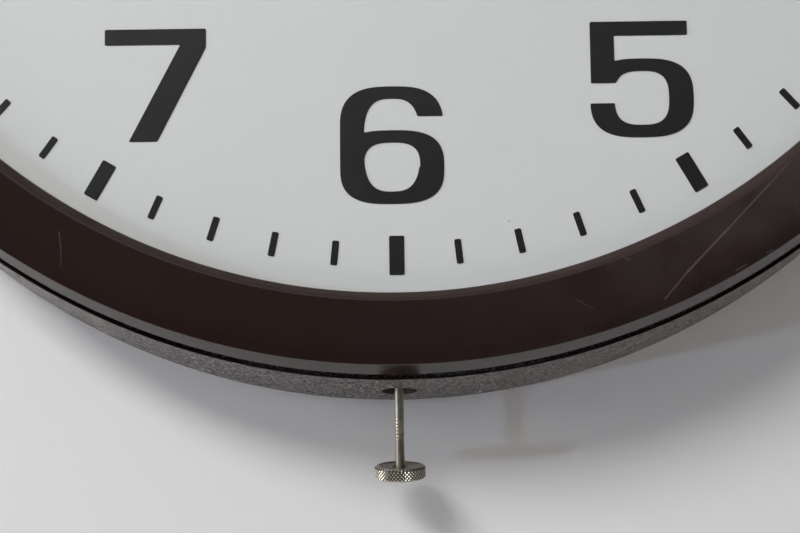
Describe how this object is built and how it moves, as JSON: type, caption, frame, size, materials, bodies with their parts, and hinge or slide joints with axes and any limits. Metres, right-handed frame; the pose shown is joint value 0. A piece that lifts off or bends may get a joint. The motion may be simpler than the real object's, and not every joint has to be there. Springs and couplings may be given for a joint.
{
  "type": "school clock",
  "caption": "Round surface-mounted school clock with a dark moulded bezel, domed lens, plain dial, geared electric movement and a knurled setting knob on a rod below.",
  "frame": {"origin": "centre of the case's flat back, which lies against the wall", "axes": "+Y into the wall, +Z towards twelve o'clock, +X to three o'clock, so the dial faces -Y"},
  "size_m": [0.3704, 0.0587, 0.3895],
  "materials": {
    "case_paint": "brown wrinkle paint, fine grain",
    "bezel_plastic": "polished dark red-brown moulding with light scratches",
    "lens_clear": "clear and glossy",
    "dial_paint": "satin off-white enamel",
    "ink": "flat black printing",
    "zinc_steel": "zinc plated",
    "spring_steel": "bright drawn",
    "brass": "stamped and cut",
    "nickel": "dull nickel plate with wear",
    "hand_black": "satin black",
    "hand_red": "satin red",
    "rubber": "matt",
    "felt": "pressed felt",
    "lamination": "varnished stack",
    "bobbin": "moulded",
    "coil_tape": "varnished tape over wire",
    "can_metal": "drawn and sealed",
    "terminal_board": "laminated board",
    "lead_cover": "covered wire"
  },
  "bodies": {
    "case": {"case_back": "case_paint", "case_side": "case_paint", "hanger_plate": "zinc_steel", "hanger_rivets": "zinc_steel", "cord_grommet": "rubber", "dial_posts": "zinc_steel", "dial": "dial_paint", "dial_numerals": "ink", "dial_marks": "ink", "dial_screws": "zinc_steel", "bezel": "bezel_plastic", "lens": "lens_clear", "lens_gasket": "felt", "bezel_clips": "spring_steel", "clip_screws": "zinc_steel", "movement_posts": "brass", "movement_screws": "zinc_steel", "front_plate": "brass", "back_plate": "brass", "plate_pillars": "brass", "pillar_screws": "zinc_steel", "centre_bush": "brass", "rear_bush": "brass", "minute_stud": "spring_steel", "set_bush": "brass", "stator_core": "lamination", "stator_screws": "zinc_steel", "coil_bobbin": "bobbin", "coil_winding": "coil_tape", "rotor_can": "can_metal", "rod_bracket": "zinc_steel", "bracket_screws": "zinc_steel", "rod_guide": "zinc_steel", "guide_rivets": "zinc_steel", "terminal_block": "terminal_board", "terminal_screws": "brass", "coil_leads": "lead_cover"},
    "minute_group": {"minute_arbor": "spring_steel", "clutch_spring": "spring_steel", "cannon_pinion": "brass", "minute_hand": "hand_black", "hand_nut": "brass"},
    "hour_group": {"hour_wheel": "brass", "hour_hand": "hand_black"},
    "minute_wheel_group": {"minute_wheel": "brass", "minute_pinion": "brass"},
    "set_arbor_group": {"set_arbor": "spring_steel", "set_crown": "brass", "set_wheel": "brass"},
    "set_rod_group": {"set_rod": "nickel", "set_pinion": "brass", "set_knob": "nickel", "rod_collar": "zinc_steel"},
    "second_group": {"second_arbor": "spring_steel", "second_wheel": "brass", "second_hand": "hand_red"},
    "motor_group": {"motor_pinion": "brass"},
    "third_group": {"third_arbor": "spring_steel", "third_wheel": "brass"},
    "clutch_group": {"clutch_wheel": "brass"}
  },
  "joints": [
    {"name": "minute_spin", "type": "hinge", "parent": "case", "child": "minute_group", "pos_m": [0, 0, 0], "axis": [0, 1, 0], "continuous": true},
    {"name": "hour_spin", "type": "hinge", "parent": "case", "child": "hour_group", "pos_m": [0, 0, 0], "axis": [0, 1, 0], "continuous": true},
    {"name": "minute_wheel_spin", "type": "hinge", "parent": "case", "child": "minute_wheel_group", "pos_m": [0, 0, -0.015], "axis": [0, 1, 0], "continuous": true},
    {"name": "set_arbor_spin", "type": "hinge", "parent": "case", "child": "set_arbor_group", "pos_m": [0, 0, -0.03125], "axis": [0, 1, 0], "continuous": true},
    {"name": "set_rod_spin", "type": "hinge", "parent": "case", "child": "set_rod_group", "pos_m": [0, -0.015, 0], "axis": [0, 0, 1], "continuous": true},
    {"name": "second_spin", "type": "hinge", "parent": "case", "child": "second_group", "pos_m": [0, 0, 0], "axis": [0, 1, 0], "continuous": true},
    {"name": "motor_spin", "type": "hinge", "parent": "case", "child": "motor_group", "pos_m": [0, 0, 0.0138], "axis": [0, 1, 0], "continuous": true},
    {"name": "third_spin", "type": "hinge", "parent": "case", "child": "third_group", "pos_m": [-0.0136, 0, 0], "axis": [0, 1, 0], "continuous": true},
    {"name": "clutch_spin", "type": "hinge", "parent": "case", "child": "clutch_group", "pos_m": [0, 0, 0], "axis": [0, 1, 0], "continuous": true}
  ],
  "couplings": [
    {"joint": "hour_spin", "follows": "minute_spin", "ratio": 0.083333},
    {"joint": "minute_wheel_spin", "follows": "minute_spin", "ratio": -0.33333},
    {"joint": "set_arbor_spin", "follows": "minute_spin", "ratio": 0.75},
    {"joint": "set_rod_spin", "follows": "minute_spin", "ratio": -1.5},
    {"joint": "motor_spin", "follows": "second_spin", "ratio": -3.6},
    {"joint": "third_spin", "follows": "second_spin", "ratio": -0.13333},
    {"joint": "clutch_spin", "follows": "second_spin", "ratio": 0.016667}
  ]
}
